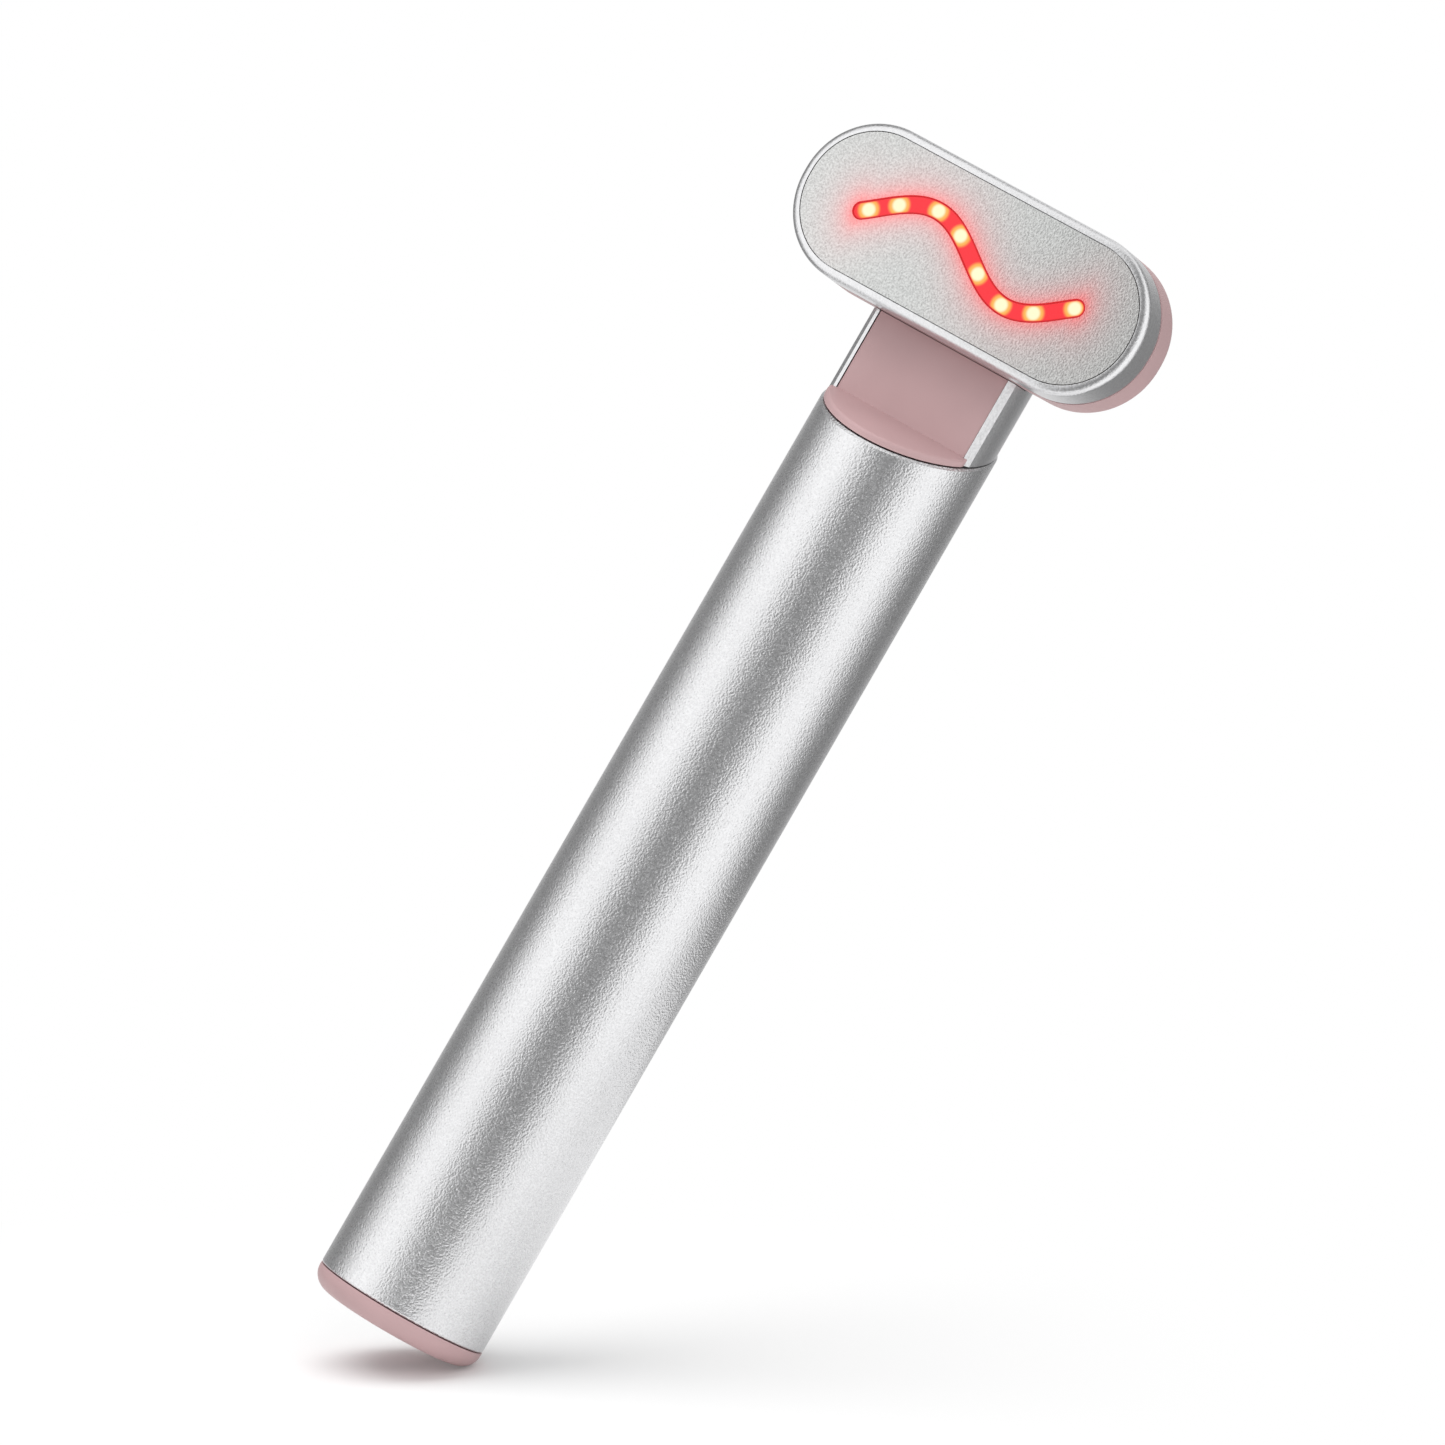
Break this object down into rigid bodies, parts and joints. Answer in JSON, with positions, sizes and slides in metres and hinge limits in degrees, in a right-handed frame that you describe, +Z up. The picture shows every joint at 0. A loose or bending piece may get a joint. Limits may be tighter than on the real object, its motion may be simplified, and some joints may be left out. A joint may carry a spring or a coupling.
{
  "type": "red light therapy wand",
  "caption": "Slim round wand with a turning T-shaped head, a lit wave channel in its flat face, a slanted swivel joint, an end cap with a charging socket and a push button.",
  "frame": {"origin": "middle of the end cap's flat underside", "axes": "+Z up along the handle, the lit face looks towards -Y, +X along the head"},
  "size_m": [0.048, 0.022, 0.1537],
  "materials": {
    "satin_aluminium": "bead-blasted and clear anodised, fine even grain",
    "blasted_face": "coarser sand-blasted metal plate, matt",
    "pink_plastic": "satin dusty-pink moulded plastic",
    "red_lens": "translucent red light guide, smooth",
    "lamp": "small surface-mounted lamps",
    "dark_rubber": "matt black rubber",
    "grey_foam": "closed-cell foam pad",
    "steel": "plain bright steel",
    "black_plastic": "matt black moulded plastic",
    "white_plastic": "natural white engineering plastic",
    "board_green": "coated circuit board",
    "board_white": "white coated circuit board",
    "chip_black": "moulded chip packages",
    "cell_wrap": "shrink-wrapped cell; its density is near aluminium's",
    "clear_plastic": "clear polished plastic",
    "lead_cover": "black soft cable cover"
  },
  "bodies": {
    "handle": {"handle_tube": "satin_aluminium", "end_cap": "pink_plastic", "end_cap_seal": "dark_rubber", "charge_socket_shell": "steel", "charge_socket_insert": "black_plastic", "port_board": "board_green", "chassis": "white_plastic", "battery_cell": "cell_wrap", "battery_tabs": "steel", "battery_pads": "grey_foam", "main_board": "board_green", "board_components": "chip_black", "lead_plug": "white_plastic", "push_switch": "black_plastic", "indicator_pipe": "clear_plastic", "swivel_socket": "satin_aluminium", "thrust_washer": "steel", "handle_screws": "steel", "handle_lead": "lead_cover"},
    "button": {"power_button": "pink_plastic", "switch_plunger": "white_plastic"},
    "head": {"swivel_journal": "satin_aluminium", "drag_ring": "dark_rubber", "retaining_ring": "steel", "neck_frame": "black_plastic", "neck_shell": "satin_aluminium", "neck_cover": "pink_plastic", "head_back_shell": "pink_plastic", "head_trim_ring": "satin_aluminium", "head_front_shell": "satin_aluminium", "face_plate": "blasted_face", "face_seal": "dark_rubber", "light_guide": "red_lens", "light_board": "board_white", "lamps": "lamp", "head_plug": "white_plastic", "head_lead": "lead_cover", "head_screws": "steel"}
  },
  "joints": [
    {"name": "head_twist", "type": "hinge", "parent": "handle", "child": "head", "pos_m": [0, 0, 0.1236], "axis": [0, -0.3827, 0.9239], "range_deg": [0, 180]},
    {"name": "button_press", "type": "slide", "parent": "handle", "child": "button", "axis": [0, -1, 0], "range_m": [0, 0.0003], "stiffness_N_per_m": 3000}
  ]
}
